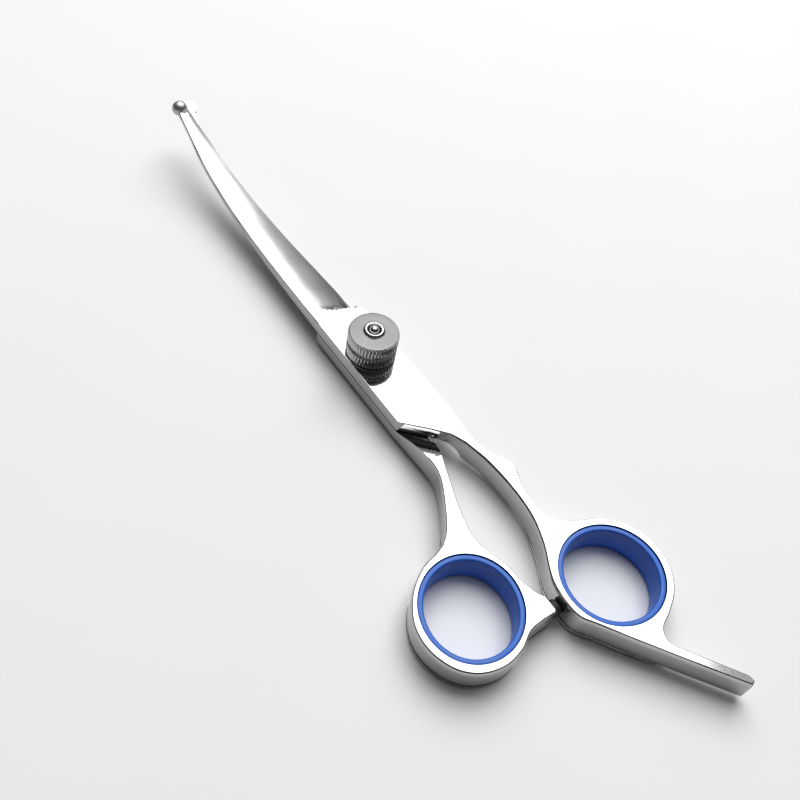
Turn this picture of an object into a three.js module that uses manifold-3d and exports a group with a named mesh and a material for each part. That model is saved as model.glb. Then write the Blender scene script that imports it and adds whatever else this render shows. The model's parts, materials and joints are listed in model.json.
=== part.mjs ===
// Curved ball-tip pet grooming shears: two forged members lapped over a keyed pivot screw,
// soft ring inserts, a rubber stop bumper and a knurled tension dial. Millimetres, +Z up.
// Origin: centre of the pivot screw's flat head, in the plane that the closed shears lie on.
// +X runs to the blade tips, +Y towards the thumb ring.
import * as THREE from 'three';
import { mergeVertices } from 'three/addons/utils/BufferGeometryUtils.js';
import Module from 'manifold-3d';

const wasm = await Module();
wasm.setup();

// ---------- driving dimensions ----------
const THICK = 7.6;            // full depth of the two ring rims
const BELLY = 1.3;            // underside of the ricasso, shanks and finger rest, above that of the rims
const LAP_GAP = 0.3;          // running gap between the two lapped members
const LAP_LOW = 4.3;          // top of the lower member's lap
const LAP_HIGH = LAP_LOW + LAP_GAP;
const HALF_WIDTH = 6.5;       // half width of the ricasso
const SHOULDER_X = 12.8;      // where the ricasso ends and the blade starts
const LAP_RADIUS = 25.0;      // the lap is flat out to here, then scoops back to full depth
const SCOOP_RADIUS = 32.2;    // where the scoop meets the outer face
const GAP = 0.1;              // clearance round fitted pieces
const SLIVER = 0.01;          // edges and steps smaller than this are closed up
const ROUND = 32;             // facets round a small turned piece
const LAP_ARRIS = 0.25;       // radius of the outer edges along the ricasso
const HANDLE_ARRIS = 0.5;     // width and depth of the rounding along the handles,
const HANDLE_DROP = 1.1;      // which it grows to between these two places
const LAP_ARRIS_X = -24;
const HANDLE_ARRIS_X = -42;
const ARRIS_STEPS = 4;

const BLADE_END_X = 90.0;     // last blade section, inside the ball
const CURVE_START_X = 16.0;   // the blade is straight up to here
const CURVE_END_X = 91.0;
const CURVE_RISE = 10.3;      // how far the blade has curved up at its tip
const CURVE_POWER = 2.2;
const EDGE_THICK = 0.35;      // flat left behind the cutting edge
const BALL_RADIUS = 2.1;
const BALL_LIFT = 0.7;        // ball centre above or below the parting surface, which cuts it flat
const UPPER_BALL = { x: 90.5, y: 2.05 };
const LOWER_BALL = { x: 91.2, y: -1.1 };

const FINGER_RING = { x: -73.1, y: -10.1, rx: 11.45, ry: 11.45, turn: 0 };
const THUMB_RING = { x: -63.5, y: 19.35, rx: 11.6, ry: 10.8, turn: -0.6 };
const FINGER_RIM_RADIUS = 13.2;
const BOSS_WALL = 1.9;        // the part of the rim that reaches full depth
const BOSS_RAMP = 5.0;        // over this distance its underside runs up to that of the shank
const INSERT_WALL = 1.45;     // soft insert's thickness at its inner crown
const RING_FACETS = 96;
const INSERT_LOW = 0.4;
const INSERT_HIGH = THICK - 0.3;

const HEAD_RADIUS = 4.0;      // pivot screw
const HEAD_HEIGHT = BELLY - 0.02;
const KEY_RADIUS = 2.8;       // six-sided key under the head
const SHANK_RADIUS = 1.9;
const POINT_RADIUS = 1.25;    // domed point that shows in the dial's centre
const SHANK_TOP = 12.9;
const POINT_TOP = 15.7;

const WASHER_RADIUS = 6.0;    // glide washer between the members
const WASHER_RECESS = 0.25;
const BUSH_RADIUS = 2.95;     // bush in the upper member
const BUSH_BORE = 2.02;

const THRUST_RADIUS = 4.4;    // hard washer inside the dial's pocket
const THRUST_TOP = 8.1;
const DIAL_RADIUS = 6.0;
const DIAL_BOTTOM = 7.8;
const DIAL_TOP = 14.3;
const DIAL_BORE = 2.02;
const DIAL_BORE_TOP = 13.6;
const DIAL_POCKET_RADIUS = 4.9;
const DIAL_POCKET_TOP = 9.5;
const COLLAR_RADIUS = 2.35;   // low collar round the screw's point
const COLLAR_TOP = 15.1;
const COLLAR_BORE = 1.5;

const BUMPER_X = -71.5;
const BUMPER_RADIUS = 1.8;
const BUMPER_STEM_RADIUS = 0.9;
const BUMPER_TIP_Y = 2.78;
const BUMPER_SEAT_Y = 5.0;
const BUMPER_STEM_Y = 8.0;

// ---------- materials ----------
function finish(color, metalness, roughness) {
  return new THREE.MeshStandardMaterial({ color, metalness, roughness });
}
const polishedSteel = finish(0xd8dadd, 1.0, 0.12);
const brushedSteel = finish(0xc4c6c9, 1.0, 0.3);
const blueRubber = finish(0x1f57b5, 0.0, 0.45);
const blackRubber = finish(0x17181a, 0.0, 0.7);
const bronze = finish(0xb08a4a, 1.0, 0.35);
const nylon = finish(0xe9e6da, 0.0, 0.5);

// ---------- solids ----------
function signedVolume(geometry) {
  const p = geometry.attributes.position;
  const i = geometry.index;
  const a = new THREE.Vector3();
  const b = new THREE.Vector3();
  const c = new THREE.Vector3();
  let sum = 0;
  for (let t = 0; t < i.count; t += 3) {
    a.fromBufferAttribute(p, i.getX(t));
    b.fromBufferAttribute(p, i.getX(t + 1));
    c.fromBufferAttribute(p, i.getX(t + 2));
    sum += a.dot(b.cross(c));
  }
  return sum;
}

// A closed three.js geometry as a solid for cutting and joining, turned so that its faces point out.
function solid(source) {
  const open = source.clone();
  open.deleteAttribute('normal');
  open.deleteAttribute('uv');
  const merged = mergeVertices(open, 1e-5);
  const flip = signedVolume(merged) < 0;
  const triVerts = new Uint32Array(merged.index.array);
  if (flip) {
    for (let t = 0; t < triVerts.length; t += 3) {
      const keep = triVerts[t];
      triVerts[t] = triVerts[t + 1];
      triVerts[t + 1] = keep;
    }
  }
  const vertProperties = new Float32Array(merged.attributes.position.array);
  return new wasm.Manifold(new wasm.Mesh({ numProp: 3, vertProperties, triVerts }));
}

function part(name, body, material) {
  const mesh = body.asOriginal().simplify(SLIVER).getMesh();
  const geometry = new THREE.BufferGeometry();
  geometry.setAttribute('position', new THREE.BufferAttribute(mesh.vertProperties, 3));
  geometry.setIndex(new THREE.BufferAttribute(mesh.triVerts, 1));
  geometry.computeVertexNormals();
  const node = new THREE.Mesh(geometry, material);
  node.name = name;
  return node;
}

function plate(points, low, high) {
  const shape = new THREE.Shape(points);
  const geometry = new THREE.ExtrudeGeometry(shape, { depth: high - low, bevelEnabled: false });
  return solid(geometry.translate(0, 0, low));
}

// Solid of revolution about the pivot axis from [radius, height] pairs.
function turned(profile, segments = ROUND) {
  const points = profile.map(([radius, height]) => new THREE.Vector2(radius, height));
  return solid(new THREE.LatheGeometry(points, segments).rotateX(Math.PI / 2));
}

function disc(radius, low, high, segments = ROUND) {
  return turned([[0, low], [radius, low], [radius, high], [0, high]], segments);
}

function ring(inner, outer, low, high, segments = ROUND) {
  return turned([[inner, low], [outer, low], [outer, high], [inner, high], [inner, low]], segments);
}

const seenAlongX = (point) => new THREE.Vector2(point.y, point.z);
const seenAlongZ = (point) => new THREE.Vector2(point.x, point.y);

// Ends of a skin: any outline, or one whose every point can be seen from the first.
const clipped = (flat) => THREE.ShapeUtils.triangulateShape(flat, []);
const fanned = (flat) => flat.slice(2).map((_, k) => [0, k + 1, k + 2]);

// Joins equal-length closed loops of points, stacked along one axis, into one closed skin with flat ends.
function loft(given, seen = seenAlongX, capped = fanned) {
  const faceOn = THREE.ShapeUtils.area(given[0].map(seen)) > 0;
  const loops = faceOn ? given : given.map(([first, ...rest]) => [first, ...rest.reverse()]);
  const count = loops[0].length;
  const positions = loops.flat().flatMap((point) => [point.x, point.y, point.z]);
  const faces = [];
  for (let s = 0; s < loops.length - 1; s += 1) {
    for (let k = 0; k < count; k += 1) {
      const a = s * count + k;
      const b = s * count + ((k + 1) % count);
      faces.push(a, b, b + count, a, b + count, a + count);
    }
  }
  for (const [start, reverse] of [[0, true], [(loops.length - 1) * count, false]]) {
    const flat = loops[start / count].map(seen);
    for (const [i, j, k] of capped(flat)) {
      faces.push(start + i, start + (reverse ? k : j), start + (reverse ? j : k));
    }
  }
  const geometry = new THREE.BufferGeometry();
  geometry.setAttribute('position', new THREE.Float32BufferAttribute(positions, 3));
  geometry.setIndex(faces);
  return solid(geometry);
}

// Unit step into the outline at each corner, lengthened so that both its sides move by one unit.
function inwardSteps(outline) {
  const turn = THREE.ShapeUtils.area(outline) > 0 ? 1 : -1;
  const count = outline.length;
  return outline.map((corner, k) => {
    const before = corner.clone().sub(outline[(k + count - 1) % count]).normalize();
    const after = outline[(k + 1) % count].clone().sub(corner).normalize();
    const along = before.clone().add(after).normalize();
    const stretch = 1 / Math.max(0.5, along.dot(after));
    return new THREE.Vector2(-along.y, along.x).multiplyScalar(turn * stretch);
  });
}

// Plate with its outer edges rounded, slightly at the ricasso and more along the handle.
function forged(outline, low, high) {
  const steps = inwardSteps(outline);
  const grown = outline.map(({ x }) => 1 - THREE.MathUtils.smoothstep(x, HANDLE_ARRIS_X, LAP_ARRIS_X));
  const layer = (turn, height) => outline.map((corner, k) => {
    const width = THREE.MathUtils.lerp(LAP_ARRIS, HANDLE_ARRIS, grown[k]);
    const depth = THREE.MathUtils.lerp(LAP_ARRIS, HANDLE_DROP, grown[k]);
    const spot = steps[k].clone().multiplyScalar(width * (1 - Math.sin(turn))).add(corner);
    return new THREE.Vector3(spot.x, spot.y, height(depth * (1 - Math.cos(turn))));
  });
  const turns = Array.from({ length: ARRIS_STEPS + 1 }, (_, k) => (k / ARRIS_STEPS) * (Math.PI / 2));
  const under = turns.map((turn) => layer(turn, (lift) => low + lift));
  const over = turns.reverse().map((turn) => layer(turn, (drop) => high - drop));
  return loft([...under, ...over], seenAlongZ, clipped);
}

// ---------- outlines ----------
const at = (x, y) => new THREE.Vector2(x, y);

function smooth(points, steps) {
  return new THREE.SplineCurve(points.map(([x, y]) => at(x, y))).getPoints(steps);
}

function straight(points) {
  return points.map(([x, y]) => at(x, y));
}

function ellipse({ x, y, rx, ry, turn }, grow, segments) {
  const curve = new THREE.EllipseCurve(x, y, rx + grow, ry + grow, 0, 2 * Math.PI, false, turn);
  return curve.getPoints(segments).slice(0, -1);
}

// Finger member: ricasso, slim shank with a grip hump, ring rim and the fixed finger rest behind it.
function fingerOutline() {
  const { x, y } = FINGER_RING;
  const rim = new THREE.EllipseCurve(x, y, FINGER_RIM_RADIUS, FINGER_RIM_RADIUS, -0.3, -2.6, true);
  return [
    ...straight([[SHOULDER_X, HALF_WIDTH], [SHOULDER_X, -HALF_WIDTH]]),
    ...smooth([[-24, -6.6], [-31.5, -6.0], [-35.8, -6.9], [-41.3, -9.7]], 18),
    ...smooth([[-42.3, -9.7], [-47.5, -7.7], [-52.5, -7.1], [-56.3, -8.0], [-59.0, -10.9]], 18),
    ...rim.getPoints(36),
    ...smooth([[-86.1, -13.9], [-87.3, -11.2], [-89.2, -10.0], [-91.0, -10.4]], 12),
    ...smooth([[-103.3, -18.8], [-104.9, -18.8], [-105.3, -17.5]], 8),
    ...smooth([
      [-95.7, -10.7], [-86.2, -4.1], [-80.0, 0.0], [-76.5, 2.3], [-72.6, 2.65], [-68.4, 2.0],
      [-65.3, 0.7], [-59.8, -2.3], [-53.5, -4.4], [-46.0, -5.1], [-38.0, -4.7], [-32.0, -3.5],
    ], 60),
    ...straight([[-28.7, -2.1], [LAP_CORNER.x - 5.1, LAP_CORNER.y - 5.4], [LAP_CORNER.x, LAP_CORNER.y]]),
  ];
}

// Thumb member: ricasso, slim shank, ring rim and the lug that carries the stop bumper.
function thumbOutline() {
  return [
    ...straight([[SHOULDER_X, -HALF_WIDTH], [SHOULDER_X, HALF_WIDTH], [-20, HALF_WIDTH]]),
    ...smooth([
      [-29.0, 6.2], [-35.0, 6.5], [-41.0, 9.4], [-47.8, 14.1], [-50.1, 17.9], [-51.4, 22.4],
      [-54.9, 27.6], [-60.2, 31.2], [-66.0, 31.9], [-71.6, 29.9], [-75.1, 26.1], [-76.5, 21.0],
      [-75.7, 16.2], [-73.7, 12.3], [-73.3, 8.4],
    ], 84),
    ...straight([[-73.4, BUMPER_SEAT_Y + 0.6], [-72.8, BUMPER_SEAT_Y]]),
    ...smooth([
      [-69.4, BUMPER_SEAT_Y], [-67.6, 6.1], [-64.5, 6.9], [-60.0, 7.3], [-55.6, 8.6], [-51.9, 9.2],
      [-46.0, 8.0], [-38.7, 5.4], [-32.0, 2.9],
    ], 40),
    ...straight([[-28.7, 1.5], [-25.2, -1.1], [-20.1, -HALF_WIDTH]]),
  ];
}

// ---------- blades ----------
function rise(x) {
  const along = Math.max(0, x - CURVE_START_X) / (CURVE_END_X - CURVE_START_X);
  return CURVE_RISE * along ** CURVE_POWER;
}

const SAMPLES = 400;

// Reads a smooth curve through [x, value] pairs at a place along X.
function reader(pairs) {
  const points = new THREE.SplineCurve(straight(pairs)).getPoints(SAMPLES);
  return (x) => {
    const k = Math.max(1, points.findIndex((point) => point.x >= x - 1e-9));
    const [a, b] = [points[k - 1], points[k]];
    return a.y + ((b.y - a.y) * (x - a.x)) / (b.x - a.x);
  };
}

// Each blade's cutting edge and spine in plan.
// The lower blade's are mirrored in Y, so that one section serves both.
const UPPER_PLAN = {
  edge: reader([
    [12, -5.1], [20, -4.75], [30, -4.1], [44, -2.8], [56, -1.8], [66, -1.1], [79, -0.5], [91, -0.1],
  ]),
  spine: reader([
    [12, 6.45], [28, 6.25], [42, 6.1], [56, 5.85], [66, 5.5], [75, 4.85], [83, 3.8], [91, 3.1],
  ]),
};
const LOWER_PLAN = {
  edge: reader([
    [12, -5.6], [30, -5.7], [42, -5.6], [56, -5.35], [66, -5.0], [75, -4.35], [83, -3.3], [91, -2.4],
  ]),
  spine: reader([
    [12, 6.2], [20, 5.1], [30, 4.0], [44, 2.6], [56, 1.5], [66, 0.75], [79, 0.2], [85, 0.5], [91, 2.2],
  ]),
};
const depthAt = reader([[12, 3.0], [20, 2.75], [40, 2.0], [60, 1.4], [91, 1.2]]);

const STRIP_ROOT = 1.6;       // flat strip left along the spine, narrowing towards the tip
const STRIP_TIP = 0.6;
const SPINE_ARRIS = 0.35;
const GRIND_POWER = 1.7;      // the ground face is crowned: level by the strip, steepest at the edge
const GRIND_STEPS = 9;
const GRIND_EDGE = { start: 13.3, length: 1.1 };    // it runs out in a curve that is nearest the
const GRIND_STRIP = { start: 17.6, length: 4.5 };   // shoulder at the cutting edge

// Share of the full grind at x, on a line a fraction f of the way from the strip to the edge.
function grindShare(x, f) {
  const start = THREE.MathUtils.lerp(GRIND_STRIP.start, GRIND_EDGE.start, Math.sqrt(f));
  const length = THREE.MathUtils.lerp(GRIND_STRIP.length, GRIND_EDGE.length, Math.sqrt(f));
  return THREE.MathUtils.smoothstep(x, start, start + length);
}

// Closed loop of one blade section, seen from the hilt: flat ride side, spine, flat strip, ground face.
function bladeSection(plan, x) {
  const y0 = plan.edge(x);
  const y1 = plan.spine(x);
  const depth = depthAt(x);
  const along = (x - SHOULDER_X) / (BLADE_END_X - SHOULDER_X);
  const strip = y1 - THREE.MathUtils.lerp(STRIP_ROOT, STRIP_TIP, along);
  const loop = [[y0, 0], [y1, 0]];
  for (let k = 0; k <= ARRIS_STEPS; k += 1) {
    const turn = (k / ARRIS_STEPS) * (Math.PI / 2);
    loop.push([y1 - SPINE_ARRIS * (1 - Math.cos(turn)), depth - SPINE_ARRIS * (1 - Math.sin(turn))]);
  }
  for (let k = 0; k <= GRIND_STEPS; k += 1) {
    const f = k / GRIND_STEPS;
    const cut = (depth - EDGE_THICK) * f ** GRIND_POWER * grindShare(x, f);
    loop.push([THREE.MathUtils.lerp(strip, y0, f), depth - cut]);
  }
  return loop;
}

function bladeStations() {
  const root = [SHOULDER_X - 0.8, 13.2, 13.5, 13.8, 14.1, 14.4, 14.8, 15.3, 15.9, 16.6, 17.5, 18.6, 20];
  const body = Array.from({ length: 24 }, (_, k) => 22 + (k * (BLADE_END_X - 22)) / 23);
  return [...root, ...body];
}

// Everything over (side 1) or under (side -1) the curved parting surface near the tips.
function tipSide(side, start) {
  const faces = [80, 84, 87, 90, 93, 96].map((x) => {
    const z = start + rise(x);
    const far = z + side * 20;
    return [[-10, z], [10, z], [10, far], [-10, far]].map(([y, height]) => new THREE.Vector3(x, y, height));
  });
  return loft(faces);
}

function tipBall({ x, y }, side, start) {
  const globe = new THREE.SphereGeometry(BALL_RADIUS, 20, 14);
  const centre = (LAP_LOW + LAP_HIGH) / 2 + rise(x) + side * BALL_LIFT;
  return solid(globe.translate(x, y, centre)).intersect(tipSide(side, start));
}

function blade(plan, side, start, tip) {
  const loops = bladeStations().map((x) =>
    bladeSection(plan, x).map(([y, z]) => new THREE.Vector3(x, side * y, start + rise(x) + side * z)));
  return loft(loops).add(tipBall(tip, side, start));
}

// ---------- lap, with a scoop of elliptical profile back to full depth ----------
const SCOOP_STEPS = 7;
const PAST = 1;               // cutters run this far past a face

function lapCutter(floor, face) {
  const out = Math.sign(face - floor);
  const profile = [[0, floor]];
  for (let k = 0; k <= SCOOP_STEPS; k += 1) {
    const turn = (k / SCOOP_STEPS) * (Math.PI / 2);
    const radius = LAP_RADIUS + (SCOOP_RADIUS - LAP_RADIUS) * Math.sin(turn);
    profile.push([radius, floor + (face - floor) * (1 - Math.cos(turn))]);
  }
  profile.push([SCOOP_RADIUS, face + out * PAST], [0, face + out * PAST]);
  return turned(profile, 96);
}

// The upper member's lap ends on a line from this corner, at 45 degrees.
const LAP_CORNER = { x: -20.1, y: HALF_WIDTH };
const COVE = [[0.4, 0], [1.2, 0.45], [3.2, 1.7], [5.2, 2.75], [7.0, 3.3]];   // [distance past it, rise]

// Leaves the lower member's cove rising from just behind the upper member's end.
function coveCutter() {
  const shape = new THREE.Shape(straight([
    [-2 * SCOOP_RADIUS, LAP_LOW],
    ...COVE.map(([past, up]) => [past, LAP_LOW + up]),
    [COVE.at(-1)[0], THICK + PAST],
    [-2 * SCOOP_RADIUS, THICK + PAST],
  ]));
  const long = 4 * SCOOP_RADIUS;
  const geometry = new THREE.ExtrudeGeometry(shape, { depth: long, bevelEnabled: false });
  geometry.translate(0, 0, -long / 2).rotateX(Math.PI / 2).rotateZ(0.75 * Math.PI);
  return solid(geometry.translate(LAP_CORNER.x, LAP_CORNER.y, 0));
}

// ---------- members ----------
// The rim's deeper part: straight under the ring, then sloping up to the shank's underside.
function ringBoss({ x, y, rx, ry, turn }) {
  const radius = rx + BOSS_WALL;
  const profile = [
    [0, 0],
    [radius, 0],
    [radius + 0.25 * BOSS_RAMP, 0.15 * BELLY],
    [radius + 0.75 * BOSS_RAMP, 0.85 * BELLY],
    [radius + BOSS_RAMP, BELLY + GAP],
    [0, BELLY + GAP],
  ];
  const points = profile.map(([along, height]) => at(along, height));
  const geometry = new THREE.LatheGeometry(points, RING_FACETS).rotateX(Math.PI / 2);
  geometry.scale(1, (ry + BOSS_WALL) / radius, 1).rotateZ(turn).translate(x, y, 0);
  return solid(geometry);
}

// Handle and ricasso of a member: the ring's rim is deeper than the rest by BELLY.
function handle(outline, rim) {
  const boss = ringBoss(rim).intersect(forged(outline, 0, THICK));
  const hole = plate(ellipse(rim, 0, RING_FACETS), -PAST, THICK + PAST);
  return forged(outline, BELLY, THICK).add(boss).subtract(hole);
}

function fingerBlade() {
  return handle(fingerOutline(), FINGER_RING)
    .subtract(lapCutter(LAP_HIGH, BELLY))
    .add(blade(UPPER_PLAN, 1, LAP_HIGH, UPPER_BALL))
    .subtract(disc(BUSH_RADIUS, 0, THICK + PAST));
}

function bumperSocket() {
  const length = BUMPER_STEM_Y - BUMPER_SEAT_Y + PAST;
  const bore = new THREE.CylinderGeometry(BUMPER_STEM_RADIUS + GAP, BUMPER_STEM_RADIUS + GAP, length, 20);
  return solid(bore.translate(BUMPER_X, BUMPER_STEM_Y + GAP - length / 2, THICK / 2));
}

function keyPrism(radius, low, high) {
  const prism = new THREE.CylinderGeometry(radius, radius, high - low, 6);
  return solid(prism.rotateX(Math.PI / 2).translate(0, 0, (low + high) / 2));
}

function thumbBlade() {
  return handle(thumbOutline(), THUMB_RING)
    .subtract(lapCutter(LAP_LOW, THICK).intersect(coveCutter()))
    .add(blade(LOWER_PLAN, -1, LAP_LOW, LOWER_BALL))
    .subtract(keyPrism(KEY_RADIUS + GAP, 0, THICK))
    .subtract(disc(WASHER_RADIUS + GAP, LAP_LOW - WASHER_RECESS, THICK))
    .subtract(bumperSocket());
}

// ---------- fitted pieces ----------
// Soft ring with a crowned inner wall, pressed into a member's ring.
function ringInsert({ x, y, rx, ry, turn }) {
  const outer = ry - GAP;
  const middle = (INSERT_LOW + INSERT_HIGH) / 2;
  const profile = [
    [outer, INSERT_LOW],
    [outer, INSERT_HIGH],
    [outer - 0.7, INSERT_HIGH],
    [outer - INSERT_WALL + 0.2, INSERT_HIGH - 0.7],
    [outer - INSERT_WALL, middle],
    [outer - INSERT_WALL + 0.2, INSERT_LOW + 0.7],
    [outer - 0.7, INSERT_LOW],
    [outer, INSERT_LOW],
  ].map(([radius, height]) => at(radius, height));
  const geometry = new THREE.LatheGeometry(profile, RING_FACETS).rotateX(Math.PI / 2);
  geometry.scale((rx - GAP) / outer, 1, 1).rotateZ(turn).translate(x, y, 0);
  return solid(geometry);
}

function stopBumper() {
  const profile = [
    [0, BUMPER_TIP_Y],
    [BUMPER_RADIUS - 0.4, BUMPER_TIP_Y],
    [BUMPER_RADIUS, BUMPER_TIP_Y + 0.35],
    [BUMPER_RADIUS, BUMPER_SEAT_Y - 0.05],
    [BUMPER_STEM_RADIUS, BUMPER_SEAT_Y - 0.05],
    [BUMPER_STEM_RADIUS, BUMPER_STEM_Y],
    [0, BUMPER_STEM_Y],
  ].map(([radius, height]) => at(radius, height));
  return solid(new THREE.LatheGeometry(profile, 24).translate(BUMPER_X, 0, THICK / 2));
}

function pivotScrew() {
  const shank = turned([
    [0, 0],
    [HEAD_RADIUS - 0.2, 0],
    [HEAD_RADIUS, 0.2],
    [HEAD_RADIUS, HEAD_HEIGHT],
    [SHANK_RADIUS, HEAD_HEIGHT],
    [SHANK_RADIUS, SHANK_TOP - 0.3],
    [POINT_RADIUS + 0.1, SHANK_TOP],
    [POINT_RADIUS, SHANK_TOP],
    ...[0, 0.2, 0.4, 0.6, 0.8, 1].map((f) => [
      POINT_RADIUS * Math.cos(f * Math.PI / 2),
      POINT_TOP - POINT_RADIUS * (1 - Math.sin(f * Math.PI / 2)),
    ]).slice(0, -1),
    [0, POINT_TOP],
  ]);
  return shank.add(keyPrism(KEY_RADIUS, HEAD_HEIGHT - 0.2, LAP_LOW - 0.2));
}

function springWasher() {
  const inner = SHANK_RADIUS + 0.3;
  const outer = DIAL_POCKET_RADIUS - 0.3;
  return turned([
    [outer, THRUST_TOP + 0.03],
    [outer, THRUST_TOP + 0.4],
    [inner, DIAL_POCKET_TOP - 0.05],
    [inner, DIAL_POCKET_TOP - 0.42],
    [outer, THRUST_TOP + 0.03],
  ]);
}

// Dial with two grip bands, a groove between them and a low collar round the screw's point.
function tensionDial() {
  return turned([
    [DIAL_BORE, DIAL_POCKET_TOP],
    [DIAL_POCKET_RADIUS, DIAL_POCKET_TOP],
    [DIAL_POCKET_RADIUS, DIAL_BOTTOM],
    [DIAL_RADIUS - 0.2, DIAL_BOTTOM],
    [DIAL_RADIUS, DIAL_BOTTOM + 0.25],
    [DIAL_RADIUS, 10.6],
    [DIAL_RADIUS - 0.55, 10.85],
    [DIAL_RADIUS - 0.55, 11.25],
    [DIAL_RADIUS, 11.5],
    [DIAL_RADIUS, DIAL_TOP - 0.45],
    [DIAL_RADIUS - 0.3, DIAL_TOP],
    [COLLAR_RADIUS + 0.4, DIAL_TOP],
    [COLLAR_RADIUS, DIAL_TOP + 0.25],
    [COLLAR_RADIUS - 0.1, COLLAR_TOP - 0.15],
    [COLLAR_RADIUS - 0.3, COLLAR_TOP],
    [COLLAR_BORE + 0.25, COLLAR_TOP],
    [COLLAR_BORE, COLLAR_TOP - 0.3],
    [COLLAR_BORE, DIAL_BORE_TOP],
    [DIAL_BORE, DIAL_BORE_TOP],
    [DIAL_BORE, DIAL_POCKET_TOP],
  ], 48);
}

// ---------- assembly ----------
const shears = new THREE.Group();
shears.add(
  part('finger_blade', fingerBlade(), polishedSteel),
  part('thumb_blade', thumbBlade(), polishedSteel),
  part('finger_ring_insert', ringInsert(FINGER_RING), blueRubber),
  part('thumb_ring_insert', ringInsert(THUMB_RING), blueRubber),
  part('stop_bumper', stopBumper(), blackRubber),
  part('pivot_screw', pivotScrew(), brushedSteel),
  part('pivot_bush', ring(BUSH_BORE, BUSH_RADIUS - 0.05, LAP_HIGH + 0.05, THICK - 0.1), bronze),
  part('glide_washer', ring(KEY_RADIUS + 0.15, WASHER_RADIUS, LAP_LOW - WASHER_RECESS + 0.02,
    LAP_HIGH - 0.02), nylon),
  part('thrust_washer', ring(BUSH_BORE + 0.1, THRUST_RADIUS, THICK + 0.02, THRUST_TOP), brushedSteel),
  part('spring_washer', springWasher(), brushedSteel),
  part('tension_dial', tensionDial(), brushedSteel),
  part('lock_ring', ring(POINT_RADIUS + 0.1, SHANK_RADIUS, SHANK_TOP + 0.02, SHANK_TOP + 0.4),
    brushedSteel),
);

export default shears;
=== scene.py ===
"""Looks of the curved ball-tip grooming shears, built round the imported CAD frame. Metres, +Z up."""
import json
import math

import bmesh
import bpy
from mathutils import Matrix, Vector


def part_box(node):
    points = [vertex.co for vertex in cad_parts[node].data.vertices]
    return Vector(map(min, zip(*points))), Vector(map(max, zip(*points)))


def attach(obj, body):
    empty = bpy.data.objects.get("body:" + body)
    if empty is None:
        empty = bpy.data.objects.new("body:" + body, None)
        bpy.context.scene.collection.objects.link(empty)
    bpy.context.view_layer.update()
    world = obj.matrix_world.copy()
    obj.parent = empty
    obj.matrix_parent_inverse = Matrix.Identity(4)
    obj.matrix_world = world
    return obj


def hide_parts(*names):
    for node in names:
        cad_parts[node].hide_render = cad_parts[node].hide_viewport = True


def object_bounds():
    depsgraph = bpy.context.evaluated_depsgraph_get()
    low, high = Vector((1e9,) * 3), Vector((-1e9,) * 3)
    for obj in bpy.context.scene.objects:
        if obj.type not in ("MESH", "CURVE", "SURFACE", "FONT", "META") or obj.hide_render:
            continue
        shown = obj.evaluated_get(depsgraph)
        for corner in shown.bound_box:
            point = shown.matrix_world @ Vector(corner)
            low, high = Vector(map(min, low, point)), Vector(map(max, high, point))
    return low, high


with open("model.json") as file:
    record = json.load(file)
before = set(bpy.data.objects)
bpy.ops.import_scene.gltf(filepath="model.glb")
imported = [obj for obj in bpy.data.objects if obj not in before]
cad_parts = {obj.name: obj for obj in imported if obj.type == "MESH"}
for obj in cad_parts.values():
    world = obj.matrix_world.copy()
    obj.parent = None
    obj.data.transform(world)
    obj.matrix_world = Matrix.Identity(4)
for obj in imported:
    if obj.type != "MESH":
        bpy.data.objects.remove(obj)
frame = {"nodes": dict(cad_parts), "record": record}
cad_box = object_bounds()

MM = 0.001

# ---------- camera, floor and light ----------
CAMERA_PLACE = Vector((-0.1042, 0.0928, 0.1678))
CAMERA_UP = Vector((0.6949, -0.3890, 0.6048))
CAMERA_BACK = Vector((-0.4351, 0.4423, 0.7843))
LENS_MM = 40.9

SOFTBOX_AIM = Vector((-0.02, 0.0, 0.0))
SOFTBOX_TOWARDS = Vector((0.351, -0.356, 0.866))   # about where level faces mirror the view
SOFTBOX_DISTANCE = 1.1
SOFTBOX_SIDE = 0.98
SOFTBOX_POWER = 13.5
ROOM_GREY = 0.05                                   # the room away from the softbox
GLOW_GREY = 0.70                                   # the room right round it
GLOW_NEAR = math.radians(24)                       # from its middle, where the glow starts to fade
GLOW_FAR = math.radians(57)                        # and where it has faded to the room's grey

FLOOR_GAP = 0.02 * MM
FLOOR_REACH = 6.0                                  # from the middle to each side
FLOOR_CELLS = 8


def link(obj):
    bpy.context.scene.collection.objects.link(obj)
    return obj


def turned_to(back, up):
    """Rotation whose local Z is back and whose local Y is as near as possible to up."""
    z = back.normalized()
    x = up.cross(z).normalized()
    return Matrix((x, z.cross(x), z)).transposed().to_4x4()


def add_camera():
    lens = bpy.data.cameras.new("camera")
    lens.sensor_width = 36.0
    lens.lens = LENS_MM
    lens.clip_start = 0.01
    camera = link(bpy.data.objects.new("camera", lens))
    camera.matrix_world = Matrix.Translation(CAMERA_PLACE) @ turned_to(CAMERA_BACK, CAMERA_UP)
    bpy.context.scene.camera = camera


def add_softbox():
    lamp = bpy.data.lights.new("softbox", "AREA")
    lamp.shape = "SQUARE"
    lamp.size = SOFTBOX_SIDE
    lamp.energy = SOFTBOX_POWER
    box = link(bpy.data.objects.new("softbox", lamp))
    place = SOFTBOX_AIM + SOFTBOX_TOWARDS * SOFTBOX_DISTANCE
    box.matrix_world = Matrix.Translation(place) @ turned_to(SOFTBOX_TOWARDS, Vector((0, 0, 1)))


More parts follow.
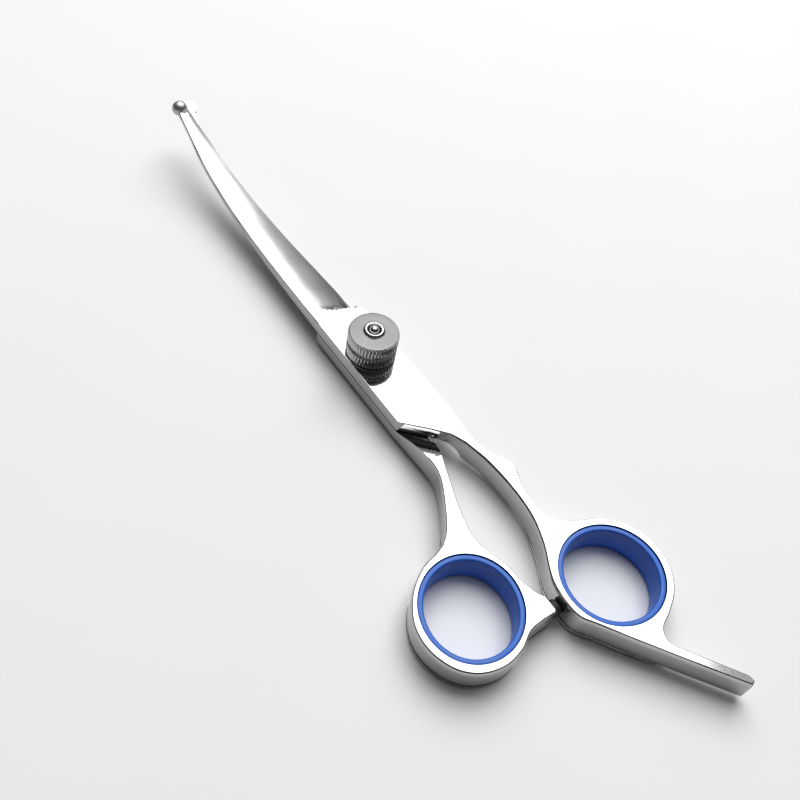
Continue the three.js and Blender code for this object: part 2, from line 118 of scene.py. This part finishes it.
def add_room():
    """A dark room with a grey glow round the softbox, which curved steel mirrors as a soft gradient."""
    world = bpy.data.worlds.new("room")
    world.use_nodes = True
    nodes, links = world.node_tree.nodes, world.node_tree.links
    direction = nodes.new("ShaderNodeTexCoord").outputs["Generated"]
    towards = nodes.new("ShaderNodeVectorMath")
    towards.operation = "DOT_PRODUCT"
    towards.inputs[1].default_value = SOFTBOX_TOWARDS.normalized()
    glow = nodes.new("ShaderNodeMapRange")
    glow.interpolation_type = "SMOOTHSTEP"
    glow.inputs["From Min"].default_value = math.cos(GLOW_FAR)
    glow.inputs["From Max"].default_value = math.cos(GLOW_NEAR)
    glow.inputs["To Min"].default_value = ROOM_GREY
    glow.inputs["To Max"].default_value = GLOW_GREY
    links.new(direction, towards.inputs[0])
    links.new(towards.outputs["Value"], glow.inputs["Value"])
    links.new(glow.outputs["Result"], nodes["Background"].inputs["Color"])
    bpy.context.scene.world = world
    bpy.context.scene.view_settings.view_transform = "Standard"


# ---------- materials ----------
class Surface:
    """A Principled material built from nodes. Its lengths are millimetres, and place() gives coordinates
    in them."""

    def __init__(self, name):
        self.material = bpy.data.materials.new(name)
        self.material.use_nodes = True
        self.tree = self.material.node_tree
        self.shader = self.tree.nodes["Principled BSDF"]
        self.coordinates = self.node("ShaderNodeTexCoord").outputs["Object"]
        self.relief = None

    def node(self, kind, inputs=None, **settings):
        made = self.tree.nodes.new(kind)
        for key, value in settings.items():
            setattr(made, key, value)
        for key, value in (inputs or {}).items():
            self.feed(made.inputs[key], value)
        return made

    def feed(self, socket, value):
        """Links a node's output to the socket, or sets a plain value on it."""
        if isinstance(value, bpy.types.NodeSocket):
            self.tree.links.new(value, socket)
        else:
            socket.default_value = value

    def set(self, **values):
        """Feeds the shader's own sockets, whose names are given with _ for each space."""
        for key, value in values.items():
            self.feed(self.shader.inputs[key.replace("_", " ")], value)

    def place(self, stretch=(1, 1, 1), turn=0.0):
        """Object coordinates in millimetres, drawn out by stretch and turned about Z."""
        scale = tuple(1 / (MM * s) for s in stretch)
        mapping = self.node("ShaderNodeMapping", {
            "Vector": self.coordinates, "Scale": scale, "Rotation": (0, 0, turn)})
        return mapping.outputs["Vector"]

    def noise(self, grain, stretch=(1, 1, 1), turn=0.0, detail=3.0):
        """Noise with features about grain millimetres across, drawn out by stretch."""
        made = self.node("ShaderNodeTexNoise", {
            "Vector": self.place(stretch, turn), "Scale": 1 / grain, "Detail": detail})
        return made.outputs["Fac"]

    def scale(self, value, low, high, start=0.3, end=0.7):
        """Takes start..end of the value to low..high. The defaults are most of a noise's range."""
        made = self.node("ShaderNodeMapRange", {
            "Value": value, "From Min": start, "From Max": end, "To Min": low, "To Max": high})
        return made.outputs["Result"]

    def maths(self, operation, a, b):
        return self.node("ShaderNodeMath", {0: a, 1: b}, operation=operation).outputs[0]

    def blend(self, amount, a, b):
        made = self.node("ShaderNodeMix", data_type="RGBA")
        self.feed(made.inputs["Factor"], amount)
        self.feed(made.inputs[6], a)
        self.feed(made.inputs[7], b)
        return made.outputs[2]

    def emboss(self, height, depth_mm, strength=1.0):
        """Adds relief of the given depth to what is there already."""
        inputs = {"Height": height, "Distance": depth_mm * MM, "Strength": strength}
        if self.relief is not None:
            inputs["Normal"] = self.relief
        self.relief = self.node("ShaderNodeBump", inputs).outputs["Normal"]
        self.set(Normal=self.relief)

    def edges(self, radius_mm):
        """1 at edges and 0 on faces, from how far the rounded normal leaves the true one."""
        rounded = self.node("ShaderNodeBevel", {"Radius": radius_mm * MM}, samples=4).outputs["Normal"]
        true = self.node("ShaderNodeNewGeometry").outputs["Normal"]
        dot = self.node("ShaderNodeVectorMath", {0: rounded, 1: true}, operation="DOT_PRODUCT")
        return self.scale(dot.outputs["Value"], 1.0, 0.0, start=0.8, end=0.995)


def grey(level, warm=0.0):
    return (level * (1 + warm), level, level * (1 - warm), 1)


SATIN_BLADE = (13.0, 18.0)     # along X, where the mirror handles pass into the satin blades
SATIN_TIP = (87.5, 89.0)       # and where the blades pass into the duller ball tips
BRIGHTEST = 0.9                # the most that a worn edge's grey may be


def polished_steel(name, level, rough, line_turn=0.0):
    """Mirror-polished steel: faint smudges, fine polishing lines along X and edges worn brighter."""
    s = Surface(name)
    lines = s.noise(0.05, stretch=(14, 1, 1), turn=line_turn, detail=2.0)
    smudges = s.noise(9.0, detail=4.0)
    scratches = s.scale(s.noise(0.09, stretch=(30, 1, 1), turn=0.5 + line_turn), 0, 1, 0.70, 0.74)
    worn = s.edges(0.25)
    tone = s.blend(s.scale(smudges, 0, 1), grey(level * 0.96, 0.008), grey(level * 1.04, -0.004))
    s.set(Base_Color=s.blend(s.maths("MULTIPLY", worn, 0.5), tone, grey(min(BRIGHTEST, level * 1.2))))
    along = s.node("ShaderNodeSeparateXYZ", {"Vector": s.place()}).outputs["X"]
    satin = s.maths("ADD", s.scale(along, 0, 0.12, *SATIN_BLADE), s.scale(along, 0, 0.2, *SATIN_TIP))
    hazy = s.maths("ADD", s.scale(smudges, rough * 0.8, rough * 1.25), s.scale(lines, 0, 0.03))
    hazy = s.maths("ADD", hazy, satin)
    s.set(Roughness=s.maths("ADD", hazy, s.maths("MULTIPLY", worn, 0.06)))
    s.emboss(lines, 0.0012)
    s.emboss(scratches, -0.0015)
    s.set(Metallic=1.0)
    return s.material


def turned_steel(name, level, rough, anisotropy):
    """Steel turned on a lathe about Z: fine rings and a drawn-out highlight."""
    s = Surface(name)
    rings = s.node("ShaderNodeTexWave", {
        "Vector": s.place(), "Scale": 2.2, "Distortion": 0.6, "Detail": 2.0, "Detail Scale": 0.6},
        wave_type="RINGS", rings_direction="Z")
    speckle = s.noise(0.25, detail=4.0)
    worn = s.edges(0.12)
    tone = s.blend(s.scale(speckle, 0, 1), grey(level * 0.9), grey(level * 1.06))
    s.set(Base_Color=s.blend(s.maths("MULTIPLY", worn, 0.6), tone, grey(min(BRIGHTEST, level * 1.35))))
    s.set(Roughness=s.scale(speckle, rough * 0.8, rough * 1.25))
    s.emboss(rings.outputs["Fac"], 0.004)
    s.emboss(speckle, 0.004)
    around = s.node("ShaderNodeTangent", direction_type="RADIAL", axis="Z").outputs["Tangent"]
    s.set(Metallic=1.0, Anisotropic=anisotropy, Tangent=around)
    return s.material


def rubber(name, color, shade, rough, grain_mm):
    """Moulded elastomer: fine grain, uneven gloss and edges rubbed lighter."""
    s = Surface(name)
    cloud = s.noise(5.0, detail=3.0)
    grain = s.noise(grain_mm, detail=2.0)
    worn = s.edges(0.3)
    tone = s.blend(s.scale(cloud, 0, 1), (*shade, 1), (*color, 1))
    rubbed = tuple(0.85 * c + 0.05 for c in color)
    s.set(Base_Color=s.blend(s.maths("MULTIPLY", worn, 0.35), tone, (*rubbed, 1)))
    uneven = s.scale(cloud, rough * 0.85, rough * 1.15)
    s.set(Roughness=s.maths("ADD", uneven, s.scale(grain, 0, 0.06)))
    s.emboss(grain, 0.012, 0.5)
    s.set(Metallic=0.0, Specular_IOR_Level=0.5)
    return s.material


def nylon(name):
    """Slightly yellowed, finely grained nylon."""
    s = Surface(name)
    cloud = s.noise(1.5, detail=3.0)
    s.set(Base_Color=s.blend(cloud, (0.78, 0.76, 0.70, 1), (0.86, 0.85, 0.80, 1)))
    s.set(Roughness=s.scale(cloud, 0.4, 0.55), Metallic=0.0)
    s.emboss(s.noise(0.12), 0.01, 0.4)
    return s.material


def bronze(name):
    """Sintered bronze, unevenly toned, with fine lines drawn out along Z."""
    s = Surface(name)
    cloud = s.noise(0.8, detail=4.0)
    s.set(Base_Color=s.blend(cloud, (0.50, 0.33, 0.13, 1), (0.66, 0.46, 0.20, 1)))
    s.set(Roughness=s.scale(cloud, 0.28, 0.45), Metallic=1.0)
    s.emboss(s.noise(0.06, stretch=(1, 1, 8)), 0.006)
    return s.material


def floor_paint():
    """Matt, nearly even pale grey."""
    s = Surface("pale_floor")
    cloud = s.noise(40.0, detail=2.0)
    s.set(Base_Color=s.blend(cloud, grey(0.79), grey(0.81)), Roughness=0.9, Specular_IOR_Level=0.0)
    return s.material


MIRROR_FINGER = polished_steel("mirror_steel_finger", 0.46, 0.08)
MIRROR_THUMB = polished_steel("mirror_steel_thumb", 0.45, 0.09, line_turn=0.03)
MACHINED = turned_steel("machined_steel_rings", 0.42, 0.22, 0.3)
POINT_STEEL = turned_steel("screw_steel", 0.55, 0.10, 0.0)
DIAL_STEEL = turned_steel("dial_brushed_steel", 0.48, 0.24, 0.3)
# The dial's level top face: the same turned steel, rougher and more drawn out, with its grey painted far
# darker (0.15 against 0.48) as painted shade, so the face does not mirror the softbox white
DIAL_FACE_PAINTED_SHADE = turned_steel("dial_spun_face_painted_shade", 0.15, 0.36, 0.85)
BLUE = rubber("blue_elastomer", (0.007, 0.115, 0.54), (0.005, 0.095, 0.46), 0.42, 0.10)
BLACK = rubber("black_elastomer", (0.020, 0.020, 0.021), (0.014, 0.014, 0.015), 0.55, 0.14)
NYLON = nylon("white_nylon_wear")
BRONZE = bronze("bronze_bush_wear")


# ---------- meshes ----------
SHARP_ANGLE = math.radians(38)
MERGE = 0.012 * MM               # points closer than this become one
COPLANAR = math.radians(1.0)     # faces that turn less than this become one


def box_mm(node):
    """Lowest and highest corners of a CAD node at rest, in millimetres."""
    return [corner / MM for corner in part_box(node)]


def body_of(node):
    bodies = frame["record"]["behaviour"]["bodies"]
    return next(body for body, members in bodies.items() if node in members)


def finish_piece(mesh, name, node, material, sharp=SHARP_ANGLE):
    """Smooth-shaded piece from a bmesh, standing for a CAD node and riding on its body."""
    data = bpy.data.meshes.new(name)
    bmesh.ops.recalc_face_normals(mesh, faces=mesh.faces)
    mesh.to_mesh(data)
    mesh.free()
    data.shade_smooth()
    data.set_sharp_from_angle(angle=sharp)
    data.materials.append(material)
    piece = link(bpy.data.objects.new(name, data))
    normals = piece.modifiers.new("flat_faces_stay_flat", "WEIGHTED_NORMAL")
    normals.mode = "FACE_AREA"
    normals.weight = 80
    normals.keep_sharp = True
    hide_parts(node)
    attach(piece, body_of(node))
    return piece


def cleaned(node):
    """The CAD node's skin with its triangles merged into whole faces."""
    mesh = bmesh.new()
    mesh.from_mesh(frame["nodes"][node].data)
    bmesh.ops.remove_doubles(mesh, verts=mesh.verts, dist=MERGE)
    bmesh.ops.dissolve_degenerate(mesh, dist=MERGE, edges=mesh.edges)
    bmesh.ops.dissolve_limit(mesh, angle_limit=COPLANAR, verts=mesh.verts, edges=mesh.edges)
    return mesh


def turned_skin(profile, segments, place, capped=False):
    """Skin of a profile swept round an axis. place(*profile point, angle) gives each point in metres.
    The profile closes on itself or, if capped, its first and last points lie on the axis."""
    mesh = bmesh.new()
    columns = []
    for index, point in enumerate(profile):
        on_axis = capped and index in (0, len(profile) - 1)
        around = 1 if on_axis else segments
        column = [mesh.verts.new(place(*point, 2 * math.pi * k / segments)) for k in range(around)]
        columns.append(column * (segments // around))
    pairs = list(zip(columns, columns[1:])) + ([] if capped else [(columns[-1], columns[0])])
    for a, b in pairs:
        for k in range(segments):
            n = (k + 1) % segments
            corners = list(dict.fromkeys((a[k], a[n], b[n], b[k])))
            mesh.faces.new(corners)
    return mesh


def arc(centre, radius, angles):
    """Profile points on a circle arc, at angles in degrees from the outward direction."""
    turns = [math.radians(angle) for angle in angles]
    return [(centre[0] + radius * math.cos(t), centre[1] + radius * math.sin(t)) for t in turns]


# ---------- dial, in millimetres ----------
DIAL_BOX = box_mm("tension_dial")
DIAL_RADIUS = DIAL_BOX[1].x
DIAL_LOW = DIAL_BOX[0].z
COLLAR_HIGH = DIAL_BOX[1].z
DIAL_HIGH = COLLAR_HIGH - 0.8    # the face round the collar
COLLAR_RADIUS, COLLAR_BORE = 2.35, 1.5
GROOVE_LOW, GROOVE_HIGH = 10.6, 11.5
GROOVE_DEPTH, GROOVE_FLARE = 0.55, 0.18
DIAL_BORE, DIAL_BORE_TOP = 2.02, 13.6
DIAL_POCKET, DIAL_POCKET_TOP = 4.9, 9.5
BREAK = 0.05                     # small chamfer on the edges inside
COLLAR_EDGE = 0.32               # radius of the collar's outer edge
COLLAR_FOOT = 0.30               # radius of the hollow where the collar meets the face
FACE_EDGE = 0.28                 # radius of the face's outer edge
FACE_RIM = 0.34                  # from the face down to the upper band
TEETH = 46
TOOTH_DEPTH = 0.32
TOOTH_POWER = 1.6                # above 1 the valleys are narrower than the ridges
STEPS_PER_TOOTH = 8
# How a knurled band ends: inset from the dial's radius, distance from the end, share of the tooth depth
KNURL_END = ((0.18, 0.02, 0.0), (0.05, 0.10, 0.35), (0.0, 0.24, 1.0))


def smooth(points):
    """Profile points with no knurl."""
    return [(radius, height, 0.0) for radius, height in points]


def knurled_band(low, high):
    """Profile points from the band's top down."""
    top = [(DIAL_RADIUS - inset, high - drop, share) for inset, drop, share in KNURL_END]
    middle = [(DIAL_RADIUS, (low + high) / 2, 1.0)]
    bottom = [(DIAL_RADIUS - inset, low + rise, share) for inset, rise, share in reversed(KNURL_END)]
    return top + middle + bottom


def dial_profile():
    """(radius, height, share of the tooth depth), from the collar's bore outwards and back to it."""
    collar_edge = (COLLAR_RADIUS - 0.1 - COLLAR_EDGE, COLLAR_HIGH - COLLAR_EDGE)
    collar_foot = (COLLAR_RADIUS + 0.26, DIAL_HIGH + COLLAR_FOOT)
    collar = [
        (COLLAR_BORE, COLLAR_HIGH - 0.30), (COLLAR_BORE + 0.06, COLLAR_HIGH - 0.12),
        *arc(collar_edge, COLLAR_EDGE, range(90, -1, -18)),
        (COLLAR_RADIUS - 0.06, DIAL_HIGH + 0.28),
        *arc(collar_foot, COLLAR_FOOT, range(190, 271, 20)),
    ]
    face_edge = (DIAL_RADIUS - 0.2 - FACE_EDGE, DIAL_HIGH - FACE_EDGE)
    face = [
        (3.4, DIAL_HIGH), (4.6, DIAL_HIGH),
        *arc(face_edge, FACE_EDGE, (90, 71.25, 52.5, 33.75, 15)),
    ]
    bottom = DIAL_RADIUS - GROOVE_DEPTH
    groove = [(bottom, GROOVE_HIGH - GROOVE_FLARE), (bottom, GROOVE_LOW + GROOVE_FLARE)]
    inside = [
        (DIAL_RADIUS - 0.3, DIAL_LOW), (DIAL_POCKET + BREAK, DIAL_LOW),
        (DIAL_POCKET, DIAL_LOW + BREAK), (DIAL_POCKET, DIAL_POCKET_TOP),
        (DIAL_BORE + BREAK, DIAL_POCKET_TOP), (DIAL_BORE, DIAL_POCKET_TOP + BREAK),
        (DIAL_BORE, DIAL_BORE_TOP), (COLLAR_BORE, DIAL_BORE_TOP),
    ]
    return [*smooth(collar + face), *knurled_band(GROOVE_HIGH, DIAL_HIGH - FACE_RIM), *smooth(groove),
            *knurled_band(DIAL_LOW + BREAK, GROOVE_LOW), *smooth(inside)]


def add_dial():
    def place(radius, height, share, angle):
        valley = (0.5 + 0.5 * math.cos(TEETH * angle)) ** TOOTH_POWER
        r = radius - share * TOOTH_DEPTH * valley
        return Vector((r * math.cos(angle), r * math.sin(angle), height)) * MM

    skin = turned_skin(dial_profile(), TEETH * STEPS_PER_TOOTH, place)
    dial = finish_piece(skin, "knurled_tension_dial", "tension_dial", DIAL_STEEL,
                        sharp=math.radians(55))
    dial.data.materials.append(DIAL_FACE_PAINTED_SHADE)
    # The level face round the collar takes the copy of the dial steel with painted shade
    for face in dial.data.polygons:
        level = face.normal.z > 0.95
        if level and abs(face.center.z - DIAL_HIGH * MM) < 0.1 * MM:
            face.material_index = 1


# ---------- ring inserts, in millimetres ----------
INSERT_WALL = 1.45
INSERT_CROWN = 0.2               # how far the wall's middle stands past its lips
INSERT_OUTER_EDGE, INSERT_INNER_EDGE = 0.30, 0.42    # radii
INSERT_SEGMENTS = 160
# Half the ring bore's length and width, and how far its length is turned from +X
RING_BORES = {
    "finger_ring_insert": (11.35, 11.35, 0.0),
    "thumb_ring_insert": (11.5, 10.7, -0.6),
}


def insert_profile(low, high):
    """(distance in from the ring's bore, height): flat lips with rounded edges and a crowned inner wall."""
    outer, inner = INSERT_OUTER_EDGE, INSERT_INNER_EDGE
    middle = (low + high) / 2
    lip = INSERT_WALL - INSERT_CROWN - inner
    return [
        (0.0, low + outer), (0.0, middle), (0.0, high - outer),
        *arc((outer, high - outer), outer, (150, 120, 90)),
        (0.62, high),
        *arc((lip, high - inner), inner, (90, 68, 45, 22, 0)),
        (INSERT_WALL - 0.08, middle + 1.7), (INSERT_WALL, middle), (INSERT_WALL - 0.08, middle - 1.7),
        *arc((lip, low + inner), inner, (0, -22, -45, -68, -90)),
        (0.62, low),
        *arc((outer, low + outer), outer, (-90, -120, -150)),
    ]


def add_insert(node):
    low, high = box_mm(node)
    x, y = (low.x + high.x) / 2, (low.y + high.y) / 2
    length, width, turn = RING_BORES[node]

    def place(inward, height, angle):
        a, b = (length - inward) * math.cos(angle), (width - inward) * math.sin(angle)
        return Vector((x + a * math.cos(turn) - b * math.sin(turn),
                       y + a * math.sin(turn) + b * math.cos(turn), height)) * MM

    skin = turned_skin(insert_profile(low.z, high.z), INSERT_SEGMENTS, place)
    finish_piece(skin, "soft_" + node, node, BLUE, sharp=math.radians(60))


# ---------- stop bumper, in millimetres ----------
BUMPER_STEM = 0.9                # radius
BUMPER_SEAT = 4.95               # along Y, where the head meets the lug
BUMPER_WAIST = 0.12              # depth of the moulded groove round the head
BUMPER_EDGE = 0.4                # radius of the head's rounded edge
BUMPER_SEGMENTS = 48


def add_bumper():
    """A round head with a soft edge and a groove, on a stem, turned about an axis along Y."""
    low, high = box_mm("stop_bumper")
    middle = (low + high) / 2
    radius, tip, end = (high.x - low.x) / 2, low.y, high.y
    rim = tip + 0.02
    profile = [
        (0, tip), (0.7, tip),
        *arc((radius - BUMPER_EDGE, rim + BUMPER_EDGE), BUMPER_EDGE, (-90, -65, -40, -15, 0)),
        (radius, 4.1), (radius - BUMPER_WAIST, 4.2), (radius - BUMPER_WAIST, 4.4), (radius, 4.5),
        (radius, BUMPER_SEAT - 0.1), (radius - 0.1, BUMPER_SEAT), (BUMPER_STEM + 0.1, BUMPER_SEAT),
        (BUMPER_STEM, BUMPER_SEAT + 0.1), (BUMPER_STEM, end - 0.15), (BUMPER_STEM - 0.15, end),
        (0, end),
    ]

    def place(out, along, angle):
        return Vector((middle.x + out * math.cos(angle), along,
                       middle.z + out * math.sin(angle))) * MM

    skin = turned_skin(profile, BUMPER_SEGMENTS, place, capped=True)
    finish_piece(skin, "moulded_stop_bumper", "stop_bumper", BLACK,
                 sharp=math.radians(50))


# ---------- scene ----------
def add_floor():
    mesh = bmesh.new()
    bmesh.ops.create_grid(mesh, x_segments=FLOOR_CELLS, y_segments=FLOOR_CELLS, size=FLOOR_REACH)
    bmesh.ops.translate(mesh, verts=mesh.verts, vec=(0, 0, cad_box[0][2] - FLOOR_GAP))
    data = bpy.data.meshes.new("floor")
    mesh.to_mesh(data)
    mesh.free()
    data.materials.append(floor_paint())
    link(bpy.data.objects.new("floor", data))


# CAD node: the piece's name, its material and the record's slot
CLEANED = {
    "finger_blade": ("polished_finger_blade", MIRROR_FINGER, "polished_steel"),
    "thumb_blade": ("polished_thumb_blade", MIRROR_THUMB, "polished_steel"),
    "pivot_screw": ("domed_pivot_screw", POINT_STEEL, "machined_steel"),
    "pivot_bush": ("bronze_pivot_bush", BRONZE, "bronze"),
    "glide_washer": ("nylon_glide_washer", NYLON, "white_nylon"),
    "thrust_washer": ("steel_thrust_washer", MACHINED, "machined_steel"),
    "spring_washer": ("steel_spring_washer", MACHINED, "machined_steel"),
    "lock_ring": ("steel_lock_ring", MACHINED, "machined_steel"),
}

add_camera()
add_softbox()
add_room()
add_floor()
for node, (name, material, slot) in CLEANED.items():
    finish_piece(cleaned(node), name, node, material)
add_dial()
add_bumper()
for node in RING_BORES:
    add_insert(node)
